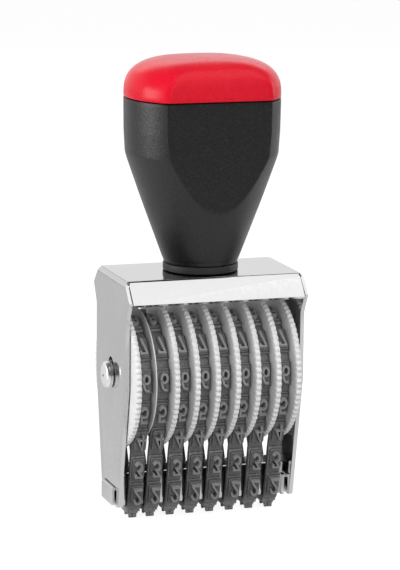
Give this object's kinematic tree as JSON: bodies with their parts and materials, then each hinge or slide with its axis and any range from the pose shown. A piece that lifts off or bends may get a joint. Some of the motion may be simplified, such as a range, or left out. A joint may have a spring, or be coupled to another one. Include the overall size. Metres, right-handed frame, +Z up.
{
  "type": "band numbering stamp",
  "caption": "Hand stamp with a knob handle on a bent sheet frame that holds setting wheels and endless rubber number bands round a print foot.",
  "frame": {"origin": "on the floor under the centre of the stamp, between the print faces of the middle bands", "axes": "+X along the wheel axle from left to right, -Y towards the front, +Z up through the handle"},
  "size_m": [0.053, 0.0388, 0.122],
  "materials": {
    "plated_sheet": "bright nickel plate",
    "bright_steel": "turned",
    "brass": "plain",
    "white_plastic": "satin",
    "grey_rubber": "matte",
    "ring_plastic": "matte",
    "black_plastic": "fine moulded texture",
    "red_plastic": "satin"
  },
  "bodies": {
    "stamp": {"frame": "plated_sheet", "print_foot": "plated_sheet", "axle_pin": "bright_steel", "axle_cap": "bright_steel", "guide_disc": "white_plastic", "end_washer": "bright_steel", "spring_washer": "bright_steel", "number_band_1": "grey_rubber", "number_band_2": "grey_rubber", "number_band_3": "grey_rubber", "number_band_4": "grey_rubber", "number_band_5": "grey_rubber", "number_band_6": "grey_rubber", "number_band_7": "grey_rubber", "number_band_8": "grey_rubber", "screw_washer": "bright_steel", "handle_screw": "bright_steel", "handle_insert": "brass", "neck_ring": "ring_plastic", "handle_body": "black_plastic", "handle_cap": "red_plastic"},
    "wheel_1": {"setting_wheel_1": "white_plastic"},
    "wheel_2": {"setting_wheel_2": "white_plastic"},
    "wheel_3": {"setting_wheel_3": "white_plastic"},
    "wheel_4": {"setting_wheel_4": "white_plastic"},
    "wheel_5": {"setting_wheel_5": "white_plastic"},
    "wheel_6": {"setting_wheel_6": "white_plastic"},
    "wheel_7": {"setting_wheel_7": "white_plastic"},
    "wheel_8": {"setting_wheel_8": "white_plastic"}
  },
  "joints": [
    {"name": "wheel_1_turn", "type": "hinge", "parent": "stamp", "child": "wheel_1", "pos_m": [-0.02039, 0, 0.0387], "axis": [1, 0, 0], "continuous": true},
    {"name": "wheel_2_turn", "type": "hinge", "parent": "stamp", "child": "wheel_2", "pos_m": [-0.01396, 0, 0.0387], "axis": [1, 0, 0], "continuous": true},
    {"name": "wheel_3_turn", "type": "hinge", "parent": "stamp", "child": "wheel_3", "pos_m": [-0.00843, 0, 0.0387], "axis": [1, 0, 0], "continuous": true},
    {"name": "wheel_4_turn", "type": "hinge", "parent": "stamp", "child": "wheel_4", "pos_m": [-0.00288, 0, 0.0387], "axis": [1, 0, 0], "continuous": true},
    {"name": "wheel_5_turn", "type": "hinge", "parent": "stamp", "child": "wheel_5", "pos_m": [0.00265, 0, 0.0387], "axis": [1, 0, 0], "continuous": true},
    {"name": "wheel_6_turn", "type": "hinge", "parent": "stamp", "child": "wheel_6", "pos_m": [0.00819, 0, 0.0387], "axis": [1, 0, 0], "continuous": true},
    {"name": "wheel_7_turn", "type": "hinge", "parent": "stamp", "child": "wheel_7", "pos_m": [0.01374, 0, 0.0387], "axis": [1, 0, 0], "continuous": true},
    {"name": "wheel_8_turn", "type": "hinge", "parent": "stamp", "child": "wheel_8", "pos_m": [0.01928, 0, 0.0387], "axis": [1, 0, 0], "continuous": true}
  ]
}
